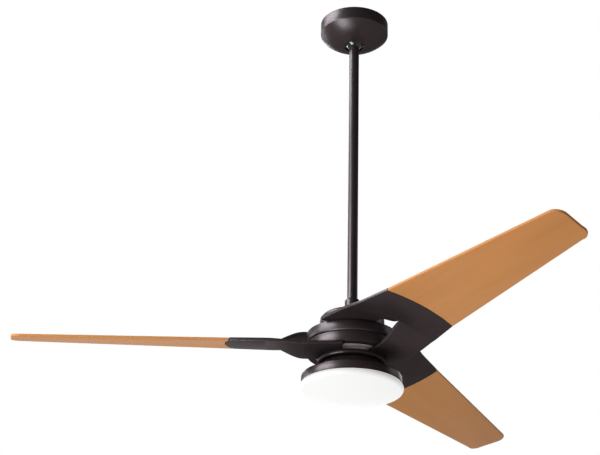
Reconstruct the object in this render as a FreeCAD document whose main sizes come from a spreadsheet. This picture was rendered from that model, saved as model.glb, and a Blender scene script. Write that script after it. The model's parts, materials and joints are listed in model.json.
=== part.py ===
import FreeCAD, Part
import math
import os

import Sketcher

# A three-blade ceiling fan with a dish light.  The origin lies on the fan's axis at the ceiling,
# Z points up, and every piece hangs below the origin.  Lengths are millimetres, angles are degrees.

SIZES = [
    # canopy and its fixing
    ("canopy_room", 15.0), ("canopy_band", 27.0), ("dome_drop", 28.5), ("canopy_wall", 1.6),
    ("canopy_hole_radius", 20.5), ("canopy_gap", 1.0), ("ear_width", 14.0), ("ear_thick", 2.0),
    ("ear_screw_room", 4.05), ("ear_lap", 6.0),
    # ceiling bracket with its ball socket
    ("plate_end", 4.0), ("plate_width", 60.0), ("plate_thick", 2.5), ("plate_corner", 12.0),
    ("slot_spacing", 79.4), ("slot_length", 24.5), ("slot_radius", 2.75),
    ("leg_width", 36.0), ("leg_thick", 2.5), ("seat_wall", 3.4), ("seat_rise", 2.0), ("seat_fall", 9.0),
    ("gate_room", 1.5),
    # hanger ball and rod
    ("ball_drop", 39.0), ("ball_radius", 22.0), ("ball_flat", 15.0), ("liner_thick", 2.2),
    ("rod_radius", 10.2), ("rod_wall", 2.0), ("rod_head", 20.0), ("pin_radius", 3.0),
    ("ball_pin_half", 17.0), ("lead_radius", 1.5), ("lead_head", 6.0),
    # heights counted from the blades' plane
    ("blade_drop", 734.0), ("rod_foot", 62.0),
    # collar and upper housing
    ("collar_radius", 14.6), ("collar_height", 32.5), ("collar_flare", 3.0),
    ("cup_radius", 62.0), ("cup_rim", 35.0), ("cup_shoulder", 53.3), ("cup_top", 67.0), ("cup_wall", 2.0),
    ("shoulder_radius", 10.0),
    # coupling between rod and motor
    ("yoke_radius", 16.0), ("yoke_foot", 38.0), ("yoke_flange_radius", 30.0), ("yoke_flange", 4.0),
    ("neck_wall", 2.6), ("neck_height", 27.0), ("yoke_pin_level", 84.0), ("yoke_web", 4.0),
    ("set_screw_radius", 2.5), ("set_screw_level", 74.0),
    # motor
    ("shaft_radius", 8.0), ("shaft_bore", 6.4), ("shaft_foot", -56.0),
    ("bearing_radius", 16.0), ("bearing_height", 9.0), ("bearing_groove", 1.0),
    ("seat_ring", 4.0),
    ("stator_radius", 74.0), ("stator_half", 9.0), ("tooth_gap", 5.0),
    ("tooth_root", 40.0), ("winding_inner", 36.0), ("winding_outer", 70.0),
    ("winding_height", 5.0), ("air_gap", 1.0), ("ring_height", 22.0),
    # drum
    ("drum_radius", 87.2), ("drum_top", 25.0), ("drum_split", 3.5), ("drum_bottom", -18.0),
    ("drum_wall", 3.2), ("drum_plate", 3.0), ("drum_step", 1.2), ("drum_round", 2.4), ("drum_lip", 3.0),
    ("drum_lip_height", 1.6), ("rabbet", 1.4), ("shaft_room", 1.0),
    # lower hub
    ("neck_radius", 53.0), ("flange_radius", 65.5), ("flange_top", -25.3), ("flange_thick", 9.5),
    ("hub_bore", 46.0), ("flange_round", 5.0), ("hub_tab", 4.0), ("hub_tab_radius", 30.0),
    ("hub_screw_ring", 38.0),
    # blades and their arms
    ("blade_tip_reach", 654.0), ("tip_slant", 8.0), ("joint_radius", 242.0), ("joint_gap", 0.8),
    ("blade_root_half", 72.3), ("blade_tip_half", 39.0), ("blade_shift", 1.7), ("blade_thick", 5.5),
    ("arm_thick", 6.2),
    ("tip_corner", 20.0), ("blade_pitch", 15.0),
    ("split_back", 77.0), ("arm_root", 92.0), ("arm_root_half", 80.0), ("slit_half", 1.0),
    ("upper_end", 35.5), ("upper_end_half", 91.5), ("lower_end", 20.0), ("lower_end_half", 88.0),
    ("upper_hole", 40.0), ("tongue_length", 64.0), ("tongue_lap", 36.0),
    ("tongue_half", 38.0), ("tongue_thick", 2.6), ("tongue_screw_room", 20.0), ("tongue_screw_edge", 14.0),
    ("tongue_screw_side", 24.0), ("arm_screw_ring", 74.0), ("flange_screw_ring", 56.5),
    # fasteners
    ("screw_radius", 2.0), ("screw_head_radius", 3.8), ("screw_head", 2.0), ("screw_bite", 2.4),
    ("pan_nut_radius", 13.0), ("pan_nut_height", 6.0),
    # light
    ("pan_radius", 95.5), ("pan_rim", -75.5), ("pan_band", -64.5), ("pan_deck_radius", 58.0),
    ("pan_deck", -36.5), ("pan_round", 60.0), ("pan_wall", 1.8),
    ("glass_radius", 98.3), ("glass_belly", -81.0), ("glass_edge", 7.0), ("glass_edge_turn", 78.0),
    ("glass_depth", -96.0), ("glass_wall", 3.2), ("glass_neck", 3.0), ("glass_seat", 6.0),
    ("led_radius", 78.0), ("led_thick", 1.6), ("led_level", -66.0), ("driver_length", 66.0),
    ("driver_width", 34.0), ("post_radius", 4.0),
    # clearances
    ("fit", 0.1), ("running_fit", 0.06), ("ball_fit", 0.3), ("overrun", 2.0),
]
BLADES = 3
STATOR_SLOTS = 12
NUT_SIDES = 6
# angles in degrees: whole turns, and where each ring of holes and screws begins
FULL_TURN = 360.0
HALF_TURN = 180.0
FIRST_BLADE = 60.0
CUP_SCREW_START = 90.0
DRUM_BOLT_START = 20.0
HUB_SCREW_START = 80.0
POST_START = 90.0
# the arms' screws, counted from the arm's own middle line
LOWER_SCREW_ANGLES = (12.0, 46.0)
UPPER_SCREW_ANGLES = (-20.0, -52.0)
# how far the legs sink into the seat ring, and the posts into the pan
LEG_SINK_SHARE = 0.8
POST_SINK_SHARE = 0.3
# screw head's rounded edge
HEAD_ROUND_SHARE = 0.45
# collar's top curve and its start
FLARE_START_SHARE = 1.5
FLARE_ROUND_SHARE = 2.0
# ears sink into the canopy's wall
EAR_SINK_SHARE = 0.5
# screw holes' depth in the boards
BOARD_BITE_SHARE = 1.5
# the tongue's nose, rounded at both corners
NOSE_SHARE = 0.5
# the glass dish: its nearly flat bottom, and the curve up to its neck
DISH_BOTTOM_SHARE = 3.9
DISH_NECK_SHARE = 0.12
# the leaves' width halfway along their roots
LEAF_MIDDLE_SHARE = 0.5

doc = FreeCAD.newDocument("ceiling_fan")
sheet = doc.addObject("Spreadsheet::Sheet", "Sizes")


class Size:
    """A length with the sheet expression that it comes from."""

    def __init__(self, value, text):
        self.value = float(value)
        self.text = text

    def join(self, other, sign, value):
        other_text = other.text if isinstance(other, Size) else repr(float(other))
        return Size(value, "(" + self.text + " " + sign + " " + other_text + ")")

    def __add__(self, other):
        return self.join(other, "+", self.value + number(other))

    def __sub__(self, other):
        return self.join(other, "-", self.value - number(other))

    def __mul__(self, other):
        return self.join(other, "*", self.value * number(other))

    def __truediv__(self, other):
        return self.join(other, "/", self.value / number(other))

    def __neg__(self):
        return Size(-self.value, "(-" + self.text + ")")


def number(value):
    return value.value if isinstance(value, Size) else float(value)


def root(size):
    return Size(math.sqrt(size.value), "sqrt(" + size.text + ")")


def cosine(angle):
    return Size(math.cos(math.radians(angle.value)), "cos(" + angle.text + ")")


def sine(angle):
    return Size(math.sin(math.radians(angle.value)), "sin(" + angle.text + ")")


class Table:
    """The named sizes, each one a cell of the sheet."""


S = Table()
for row, (alias, length) in enumerate(SIZES, start=1):
    sheet.set("A%d" % row, alias)
    sheet.set("B%d" % row, repr(length))
    sheet.setAlias("B%d" % row, alias)
    setattr(S, alias, Size(length, "Sizes." + alias))
doc.recompute()
ZERO = Size(0.0, "0")


def level(height):
    """A height above the blades' plane, as a height in the part's frame."""
    return height - S.blade_drop


def bind(item, prop, size):
    """Set a property from a size and tie it to the sheet."""
    item.setExpression(prop, size.text)


def new_body(label):
    body = doc.addObject("PartDesign::Body", label)
    body.Label = label
    return body


def plane(body, role):
    for feature in body.Origin.OriginFeatures:
        if feature.Role == role:
            return feature
    raise ValueError(role)


class Outline:
    """A closed sketch outline whose corners are tied to the sheet."""

    def __init__(self, body, name, role, offset=None, tilt=None):
        self.sketch = body.newObject("Sketcher::SketchObject", name)
        self.sketch.AttachmentSupport = (plane(body, role), [""])
        self.sketch.MapMode = "FlatFace"
        place = FreeCAD.Placement()
        if offset is not None:
            place.Base = FreeCAD.Vector(0, 0, offset.value)
        if tilt is not None:
            place.Rotation = FreeCAD.Rotation(FreeCAD.Vector(1, 0, 0), -tilt.value)
        self.sketch.AttachmentOffset = place
        if offset is not None:
            bind(self.sketch, "AttachmentOffset.Base.z", offset)

    def limit(self, kind, *where):
        return self.sketch.addConstraint(Sketcher.Constraint(kind, *where))

    def tie(self, geometry, end, kind, size):
        """Hold one corner at a distance from the sketch's origin along one axis."""
        if abs(size.value) < 1e-9:
            self.limit("PointOnObject", geometry, end, -2 if kind == "DistanceX" else -1)
            return
        if size.value > 0:
            index = self.limit(kind, -1, 1, geometry, end, size.value)
            bind(self.sketch, "Constraints[%d]" % index, size)
        else:
            index = self.limit(kind, geometry, end, -1, 1, -size.value)
            bind(self.sketch, "Constraints[%d]" % index, -size)

    def circle(self, x, y, radius):
        centre = FreeCAD.Vector(x.value, y.value, 0)
        index = self.sketch.addGeometry(Part.Circle(centre, FreeCAD.Vector(0, 0, 1), radius.value))
        self.tie(index, 3, "DistanceX", x)
        self.tie(index, 3, "DistanceY", y)
        held = self.limit("Radius", index, radius.value)
        bind(self.sketch, "Constraints[%d]" % held, radius)
        return self

    def loop(self, corners):
        """Corners are (x, y), or (x, y, radius, turn) where an arc leads to the corner."""
        count = len(corners)
        points = [FreeCAD.Vector(c[0].value, c[1].value, 0) for c in corners]
        ends = []
        for k in range(count):
            start = points[k - 1]
            stop = points[k]
            if len(corners[k]) == 2:
                index = self.sketch.addGeometry(Part.LineSegment(start, stop))
                ends.append((index, 1, 2))
                continue
            radius = corners[k][2]
            turn = corners[k][3]
            chord = stop - start
            middle = (start + stop) / 2.0
            away = math.sqrt(max(radius.value ** 2 - (chord.Length / 2.0) ** 2, 0.0))
            side = FreeCAD.Vector(-chord.y, chord.x, 0)
            side.normalize()
            centre = middle + side * (away * turn)
            ring = Part.Circle(centre, FreeCAD.Vector(0, 0, 1), radius.value)
            first = math.atan2(start.y - centre.y, start.x - centre.x)
            last = math.atan2(stop.y - centre.y, stop.x - centre.x)
            if turn > 0:
                index = self.sketch.addGeometry(Part.ArcOfCircle(ring, first, last))
                ends.append((index, 1, 2))
            else:
                index = self.sketch.addGeometry(Part.ArcOfCircle(ring, last, first))
                ends.append((index, 2, 1))
            if away < radius.value * 1e-3:
                # a half circle is held by its middle, which lies on its chord
                upright = abs(chord.y) > abs(chord.x)
                self.tie(index, 3, "DistanceX" if upright else "DistanceY", corners[k][0 if upright else 1])
                continue
            held = self.limit("Radius", index, radius.value)
            bind(self.sketch, "Constraints[%d]" % held, radius)
        for k in range(count):
            after = ends[(k + 1) % count]
            self.limit("Coincident", ends[k][0], ends[k][2], after[0], after[1])
            self.tie(ends[k][0], ends[k][2], "DistanceX", corners[k][0])
            self.tie(ends[k][0], ends[k][2], "DistanceY", corners[k][1])
        return self

    def box(self, x_low, x_high, y_low, y_high):
        return self.loop([(x_low, y_low), (x_high, y_low), (x_high, y_high), (x_low, y_high)])


def add_feature(body, kind, name, outline):
    feature = body.newObject("PartDesign::" + kind, name)
    feature.Profile = outline.sketch
    return feature


def pad(body, name, outline, length, down=False):
    feature = add_feature(body, "Pad", name, outline)
    bind(feature, "Length", length)
    feature.Reversed = down
    return feature


def pocket(body, name, outline, length, up=False):
    """Cut from the sketch downwards, or upwards; the cut has to take something away."""
    doc.recompute()
    for item in body.Group:
        if "Invalid" in item.State or "Error" in item.State:
            raise ValueError(body.Label + " " + item.Label + " failed")
    before = body.Shape.Volume
    feature = add_feature(body, "Pocket", name, outline)
    bind(feature, "Length", length)
    feature.Reversed = up
    doc.recompute()
    if body.Shape.Volume > before - 1e-6:
        raise ValueError(body.Label + " " + name + " cuts nothing")
    return feature


def spin(body, name, outline, kind="Revolution"):
    feature = add_feature(body, kind, name, outline)
    feature.ReferenceAxis = (outline.sketch, ["V_Axis"])
    feature.Angle = FULL_TURN
    return feature


def turned(label, corners):
    """A piece turned about the fan's axis from an outline of (radius, height) corners."""
    body = new_body(label)
    outline = Outline(body, label + "_outline", "XZ_Plane").loop(corners)
    spin(body, label + "_turn", outline)
    return body


def tube(label, inner, outer, low, high):
    return turned(label, [(inner, low), (outer, low), (outer, high), (inner, high)])


def cross_hole(body, name, role, height, radius, half, side=None):
    """A round hole across the axis, cut from the middle both ways."""
    outline = Outline(body, name, role).circle(side or ZERO, height, radius)
    feature = pocket(body, name + "_cut", outline, half * 2.0)
    feature.Midplane = True
    return feature


def group(label, shape, places):
    """Copies of one shape at several placements, kept as separate solids in one piece."""
    item = doc.addObject("Part::Feature", label)
    item.Label = label
    copies = []
    for place in places:
        copy = shape.copy()
        copy.Placement = place.multiply(copy.Placement)
        copies.append(copy)
    item.Shape = Part.makeCompound(copies)
    return item


def screw_shape(length, head=True, radius=None):
    """A screw that points down from its head's seat at the origin."""
    shank = radius or S.screw_radius
    screw = Part.makeCylinder(shank.value, length.value, FreeCAD.Vector(0, 0, -length.value))
    if head:
        cap = Part.makeCylinder(S.screw_head_radius.value, S.screw_head.value)
        edge = [e for e in cap.Edges if e.BoundBox.ZMin > S.screw_head.value / 2.0 and e.Closed]
        cap = cap.makeFillet(S.screw_head.value * HEAD_ROUND_SHARE, edge[:1])
        screw = screw.fuse(cap).removeSplitter()
    return screw


def turn_about_axis(angle):
    return FreeCAD.Rotation(FreeCAD.Vector(0, 0, 1), angle)


def around(count, start, radius, height, flip=False):
    places = []
    for k in range(count):
        angle = start + FULL_TURN * k / count
        spot = FreeCAD.Vector(radius.value * math.cos(math.radians(angle)),
                              radius.value * math.sin(math.radians(angle)), height.value)
        turn = FreeCAD.Rotation(FreeCAD.Vector(1, 0, 0), HALF_TURN if flip else 0.0)
        places.append(FreeCAD.Placement(spot, turn))
    return places


def hole_ring(outline, count, start, radius, hole):
    """Holes on a circle about the axis, drawn in one sketch."""
    for k in range(count):
        turn = start + FULL_TURN * k / count
        angle = Size(turn, repr(turn))
        outline.circle(radius * cosine(angle), radius * sine(angle), hole)
    return outline


SCREW_HOLE = S.screw_radius + S.fit

# ceiling bracket: a plate with two slots, two legs and a ring that holds the ball
SLOT_HALF = S.slot_length / 2.0 - S.slot_radius
SLOT_MIDDLE = S.slot_spacing / 2.0
# the canopy's screws stand outside the slots, and the canopy covers plate and screws
EAR_SCREW = SLOT_MIDDLE + S.slot_length / 2.0 + S.ear_screw_room
EAR_INNER = EAR_SCREW - S.ear_lap
CANOPY_RADIUS = EAR_SCREW + S.canopy_room
LINER_OUTER = S.ball_radius + S.ball_fit + S.liner_thick
SEAT_RADIUS = LINER_OUTER + S.ball_fit
SEAT_OUTER = SEAT_RADIUS + S.seat_wall
SEAT_TOP = -(S.ball_drop + S.seat_rise)
SEAT_BOTTOM = -(S.ball_drop + S.seat_fall)
LEG_INNER = SEAT_OUTER - S.leg_thick * LEG_SINK_SHARE


def reach_on(radius, side):
    """How far along one axis a circle reaches at a given distance along the other."""
    return root(radius * radius - side * side)


bracket = new_body("ceiling_bracket")
half_x = EAR_SCREW + S.plate_end
half_y = S.plate_width / 2.0
cut_x = half_x - S.plate_corner
cut_y = half_y - S.plate_corner
plate_outline = Outline(bracket, "plate_outline", "XY_Plane")
plate_outline.loop([
    (cut_x, -half_y), (half_x, -cut_y, S.plate_corner, 1), (half_x, cut_y),
    (cut_x, half_y, S.plate_corner, 1), (-cut_x, half_y), (-half_x, cut_y, S.plate_corner, 1),
    (-half_x, -cut_y), (-cut_x, -half_y, S.plate_corner, 1)])
for side in (1.0, -1.0):
    near = SLOT_MIDDLE * side - SLOT_HALF
    far = SLOT_MIDDLE * side + SLOT_HALF
    plate_outline.loop([(near, -S.slot_radius), (far, -S.slot_radius),
                        (far, S.slot_radius, S.slot_radius, 1), (near, S.slot_radius),
                        (near, -S.slot_radius, S.slot_radius, 1)][1:])
    plate_outline.circle(EAR_SCREW * side, ZERO, SCREW_HOLE)
pad(bracket, "plate", plate_outline, S.plate_thick, down=True)
leg_outline = Outline(bracket, "leg_outline", "XY_Plane", offset=-S.plate_thick)
for side in (1.0, -1.0):
    low = LEG_INNER if side > 0 else -(LEG_INNER + S.leg_thick)
    leg_outline.box(-S.leg_width / 2.0, S.leg_width / 2.0, low, low + S.leg_thick)
pad(bracket, "legs", leg_outline, -SEAT_BOTTOM - S.plate_thick, down=True)
seat_outline = Outline(bracket, "seat_outline", "XZ_Plane")
seat_outline.loop([
    (reach_on(SEAT_RADIUS, S.seat_fall), SEAT_BOTTOM), (SEAT_OUTER, SEAT_BOTTOM), (SEAT_OUTER, SEAT_TOP),
    (reach_on(SEAT_RADIUS, S.seat_rise), SEAT_TOP)][:4])
seat_turn = spin(bracket, "seat", seat_outline)
ball_room = Outline(bracket, "ball_room", "XZ_Plane")
ball_room.loop([(ZERO, -S.ball_drop - SEAT_RADIUS),
                (ZERO, -S.ball_drop + SEAT_RADIUS, SEAT_RADIUS, 1)])
spin(bracket, "ball_room_cut", ball_room, kind="Groove")
gate = Outline(bracket, "gate", "XY_Plane", offset=SEAT_TOP + S.overrun)
gate_half = S.rod_radius + S.gate_room
gate.box(ZERO, SEAT_OUTER + S.overrun, -gate_half, gate_half)
pocket(bracket, "gate_cut", gate, S.seat_fall - S.seat_rise + S.overrun * 2.0)

# canopy: a spun shell with a straight band, a dome that meets it at a crease, and two ears inside
HOLE_LEVEL = -(S.canopy_band + S.dome_drop)
DOME_RISE = (CANOPY_RADIUS * CANOPY_RADIUS - S.canopy_hole_radius * S.canopy_hole_radius
             - S.dome_drop * S.dome_drop) / (S.dome_drop * 2.0)
DOME = root(CANOPY_RADIUS * CANOPY_RADIUS + DOME_RISE * DOME_RISE)
INNER_DOME = DOME - S.canopy_wall
DOME_MIDDLE = DOME_RISE - S.canopy_band
INNER_RADIUS = CANOPY_RADIUS - S.canopy_wall
canopy = turned("canopy", [
    (CANOPY_RADIUS, -S.canopy_gap),
    (INNER_RADIUS, -S.canopy_gap),
    (INNER_RADIUS, DOME_MIDDLE - reach_on(INNER_DOME, INNER_RADIUS)),
    (S.canopy_hole_radius, DOME_MIDDLE - reach_on(INNER_DOME, S.canopy_hole_radius), INNER_DOME, -1),
    (S.canopy_hole_radius, HOLE_LEVEL),
    (CANOPY_RADIUS, -S.canopy_band, DOME, 1)])
ear_outline = Outline(canopy, "ear_outline", "XY_Plane", offset=-S.plate_thick)
ear_out = CANOPY_RADIUS - S.canopy_wall * EAR_SINK_SHARE
ear_half = S.ear_width / 2.0
for side in (1.0, -1.0):
    low = EAR_INNER if side > 0 else -ear_out
    ear_outline.box(low, low + (ear_out - EAR_INNER), -ear_half, ear_half)
    ear_outline.circle(EAR_SCREW * side, ZERO, SCREW_HOLE)
pad(canopy, "ears", ear_outline, S.ear_thick, down=True)
doc.recompute()
ear_screw = screw_shape(S.ear_thick + S.plate_thick)
group("canopy_screws", ear_screw, around(2, 0.0, EAR_SCREW, -S.plate_thick - S.ear_thick, flip=True))

# socket liner: a loose spherical ring between the ball and its seat
LINER_INNER = S.ball_radius + S.ball_fit
LINER_TOP = S.seat_rise + S.ball_fit
LINER_FALL = S.seat_fall + S.ball_fit
turned("socket_liner", [
    (reach_on(LINER_INNER, LINER_FALL), -S.ball_drop - LINER_FALL),
    (reach_on(LINER_OUTER, LINER_FALL), -S.ball_drop - LINER_FALL),
    (reach_on(LINER_OUTER, LINER_TOP), -S.ball_drop - LINER_TOP, LINER_OUTER, 1),
    (reach_on(LINER_INNER, LINER_TOP), -S.ball_drop - LINER_TOP),
    (reach_on(LINER_INNER, LINER_FALL), -S.ball_drop - LINER_FALL, LINER_INNER, -1)][1:])

# hanger ball, bored for the rod and cut flat on top
BALL_BORE = S.rod_radius + S.fit
BALL_TOP = -S.ball_drop + S.ball_flat
ball = turned("hanger_ball", [
    (BALL_BORE, -S.ball_drop - root(S.ball_radius * S.ball_radius - BALL_BORE * BALL_BORE)),
    (root(S.ball_radius * S.ball_radius - S.ball_flat * S.ball_flat), BALL_TOP, S.ball_radius, 1),
    (BALL_BORE, BALL_TOP)])
cross_hole(ball, "ball_pin_hole", "XZ_Plane", -S.ball_drop, S.pin_radius + S.fit, S.ball_radius)

# downrod with a cross hole at each end
ROD_TOP = -S.ball_drop + S.rod_head
ROD_BOTTOM = level(S.rod_foot)
rod = tube("downrod", S.rod_radius - S.rod_wall, S.rod_radius, ROD_BOTTOM, ROD_TOP)
cross_hole(rod, "rod_ball_hole", "XZ_Plane", -S.ball_drop, S.pin_radius + S.fit, S.rod_radius + S.overrun)
cross_hole(rod, "rod_yoke_hole", "XZ_Plane", level(S.yoke_pin_level), S.pin_radius + S.fit,
           S.rod_radius + S.overrun)


def cross_pin(label, height, half):
    body = new_body(label)
    outline = Outline(body, label + "_outline", "XZ_Plane").circle(ZERO, height, S.pin_radius)
    feature = pad(body, label + "_pad", outline, half * 2.0)
    feature.Midplane = True
    return body


cross_pin("ball_cross_pin", -S.ball_drop, S.ball_pin_half)
NECK_RADIUS = S.rod_radius + S.fit + S.neck_wall
cross_pin("yoke_pin", level(S.yoke_pin_level), reach_on(NECK_RADIUS, S.pin_radius))

# the coupling's neck stands up through the housing, and a collar on the rod covers it
NECK_TOP = level(S.cup_top) + S.neck_height
COLLAR_FOOT = level(S.cup_top)
COLLAR_TOP = COLLAR_FOOT + S.collar_height
COLLAR_BORE = S.rod_radius + S.fit
COLLAR_ROOM = NECK_RADIUS + S.fit
turned("rod_collar", [
    (COLLAR_ROOM, COLLAR_FOOT), (S.collar_radius, COLLAR_FOOT),
    (S.collar_radius, COLLAR_TOP - S.collar_flare * FLARE_START_SHARE),
    (S.collar_radius - S.collar_flare, COLLAR_TOP, S.collar_flare * FLARE_ROUND_SHARE, 1),
    (COLLAR_BORE, COLLAR_TOP), (COLLAR_BORE, NECK_TOP + S.fit), (COLLAR_ROOM, NECK_TOP + S.fit)])

# upper housing: a shell with rounded shoulders, hung from the coupling
CUP_HOLE = NECK_RADIUS + S.fit
CUP_FLAT = S.cup_radius - S.shoulder_radius
CUP_CORNER = level(S.cup_shoulder) + S.shoulder_radius
CUP_INNER_CORNER = S.shoulder_radius - S.cup_wall
cup = turned("upper_housing", [
    (CUP_HOLE, level(S.cup_top)), (CUP_HOLE, level(S.cup_top) - S.cup_wall),
    (S.yoke_flange_radius, level(S.cup_top) - S.cup_wall),
    (CUP_FLAT, CUP_CORNER - S.cup_wall),
    (S.cup_radius - S.cup_wall, level(S.cup_shoulder), CUP_INNER_CORNER, -1),
    (S.cup_radius - S.cup_wall, level(S.cup_rim)), (S.cup_radius, level(S.cup_rim)),
    (S.cup_radius, level(S.cup_shoulder)), (CUP_FLAT, CUP_CORNER, S.shoulder_radius, 1),
    (S.yoke_flange_radius, level(S.cup_top))])
CUP_SCREW_RING = (S.yoke_radius + S.yoke_flange_radius) / 2.0
cup_holes = Outline(cup, "cup_holes", "XY_Plane", offset=level(S.cup_top) + S.overrun)
hole_ring(cup_holes, BLADES, CUP_SCREW_START, CUP_SCREW_RING, SCREW_HOLE)
pocket(cup, "cup_holes_cut", cup_holes, S.cup_wall + S.overrun * 2.0)

# coupling: holds the rod above, the motor shaft below, and the housing on its flange
YOKE_TOP = level(S.cup_top) - S.cup_wall
yoke = turned("motor_yoke", [
    (S.shaft_radius + S.fit, level(S.yoke_foot)), (S.yoke_radius, level(S.yoke_foot)),
    (S.yoke_radius, YOKE_TOP - S.yoke_flange), (S.yoke_flange_radius, YOKE_TOP - S.yoke_flange),
    (S.yoke_flange_radius, YOKE_TOP), (NECK_RADIUS, YOKE_TOP), (NECK_RADIUS, NECK_TOP),
    (S.rod_radius + S.fit, NECK_TOP), (S.rod_radius + S.fit, ROD_BOTTOM),
    (S.shaft_bore, ROD_BOTTOM), (S.shaft_bore, ROD_BOTTOM - S.yoke_web),
    (S.shaft_radius + S.fit, ROD_BOTTOM - S.yoke_web)])
cross_hole(yoke, "yoke_pin_hole", "XZ_Plane", level(S.yoke_pin_level), S.pin_radius + S.fit, S.yoke_radius)
cross_hole(yoke, "set_screw_hole", "YZ_Plane", level(S.set_screw_level), S.set_screw_radius + S.fit,
           S.yoke_radius + S.overrun)
yoke_holes = Outline(yoke, "yoke_holes", "XY_Plane", offset=YOKE_TOP + S.overrun)
hole_ring(yoke_holes, BLADES, CUP_SCREW_START, CUP_SCREW_RING, SCREW_HOLE)
pocket(yoke, "yoke_holes_cut", yoke_holes, S.yoke_flange + S.overrun * 2.0)
doc.recompute()
group("upper_housing_screws", screw_shape(S.cup_wall + S.yoke_flange),
      around(BLADES, CUP_SCREW_START, CUP_SCREW_RING, level(S.cup_top)))
SET_SCREW_LENGTH = reach_on(NECK_RADIUS, S.set_screw_radius) - S.rod_radius - S.fit
set_screw = Part.makeCylinder(S.set_screw_radius.value, SET_SCREW_LENGTH.value,
                              FreeCAD.Vector((S.rod_radius + S.fit).value, 0, level(S.set_screw_level).value),
                              FreeCAD.Vector(1, 0, 0))
group("yoke_set_screws", set_screw,
      [FreeCAD.Placement(), FreeCAD.Placement(FreeCAD.Vector(), turn_about_axis(HALF_TURN))])

# motor shaft: a fixed hollow shaft that the rotor turns on
SHAFT_TOP = ROD_BOTTOM - S.yoke_web
tube("motor_shaft", S.shaft_bore, S.shaft_radius, level(S.shaft_foot), SHAFT_TOP)

# stator: a slotted core on the shaft, with a ring of windings above and below
STATOR_MIDDLE = level((S.drum_top + S.drum_bottom) / 2.0)
STATOR_TOP = STATOR_MIDDLE + S.stator_half
STATOR_BOTTOM = STATOR_MIDDLE - S.stator_half
stator = tube("stator_core", S.shaft_radius + S.fit, S.stator_radius, STATOR_BOTTOM, STATOR_TOP)
slot_outline = Outline(stator, "slot_outline", "XY_Plane", offset=STATOR_TOP + S.overrun)
slot_outline.box(S.tooth_root, S.stator_radius + S.overrun, -S.tooth_gap / 2.0, S.tooth_gap / 2.0)
slot_cut = pocket(stator, "slot_cut", slot_outline, S.stator_half * 2.0 + S.overrun * 2.0)
slots = stator.newObject("PartDesign::PolarPattern", "slots")
slots.Originals = [slot_cut]
slots.Axis = (plane(stator, "Z_Axis"), [""])
slots.Angle = FULL_TURN
slots.Occurrences = STATOR_SLOTS
stator.Tip = slots
doc.recompute()


def winding_ring(low):
    foot = FreeCAD.Vector(0, 0, low.value)
    outside = Part.makeCylinder(S.winding_outer.value, S.winding_height.value, foot)
    return outside.cut(Part.makeCylinder(S.winding_inner.value, S.winding_height.value, foot))


windings = doc.addObject("Part::Feature", "stator_windings")
windings.Label = "stator_windings"
windings.Shape = Part.makeCompound([winding_ring(STATOR_TOP), winding_ring(STATOR_BOTTOM - S.winding_height)])

# rotor ring: the magnet ring inside the drum, clear of the stator by the air gap
DRUM_INNER = S.drum_radius - S.drum_wall
LOWER_RADIUS = S.drum_radius - S.drum_step
LOWER_INNER = DRUM_INNER - S.rabbet - S.fit
RING_TOP = STATOR_MIDDLE + S.ring_height / 2.0
RING_BOTTOM = STATOR_MIDDLE - S.ring_height / 2.0
RING_OUTER = LOWER_INNER - S.fit
ring = tube("rotor_ring", S.stator_radius + S.air_gap, RING_OUTER, RING_BOTTOM, RING_TOP)
BOLT_RING = (S.stator_radius + S.air_gap + RING_OUTER) / 2.0
ring_holes = Outline(ring, "ring_holes", "XY_Plane", offset=RING_TOP + S.overrun)
hole_ring(ring_holes, BLADES, DRUM_BOLT_START, BOLT_RING, SCREW_HOLE)
pocket(ring, "ring_holes_cut", ring_holes, S.ring_height + S.overrun * 2.0)

# bearings between the fixed shaft and the drum
UPPER_SEAT = level(S.drum_top) - S.drum_plate
LOWER_SEAT = level(S.drum_bottom) + S.drum_plate


def bearing(label, low):
    high = low + S.bearing_height
    inner = S.shaft_radius + S.running_fit
    outer = S.bearing_radius
    third = (outer - inner) / 3.0
    turned(label, [
        (inner, low), (inner + third, low), (inner + third, low + S.bearing_groove),
        (outer - third, low + S.bearing_groove), (outer - third, low), (outer, low), (outer, high),
        (outer - third, high), (outer - third, high - S.bearing_groove),
        (inner + third, high - S.bearing_groove), (inner + third, high), (inner, high)])


bearing("upper_bearing", UPPER_SEAT - S.bearing_height)
bearing("lower_bearing", LOWER_SEAT)

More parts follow.
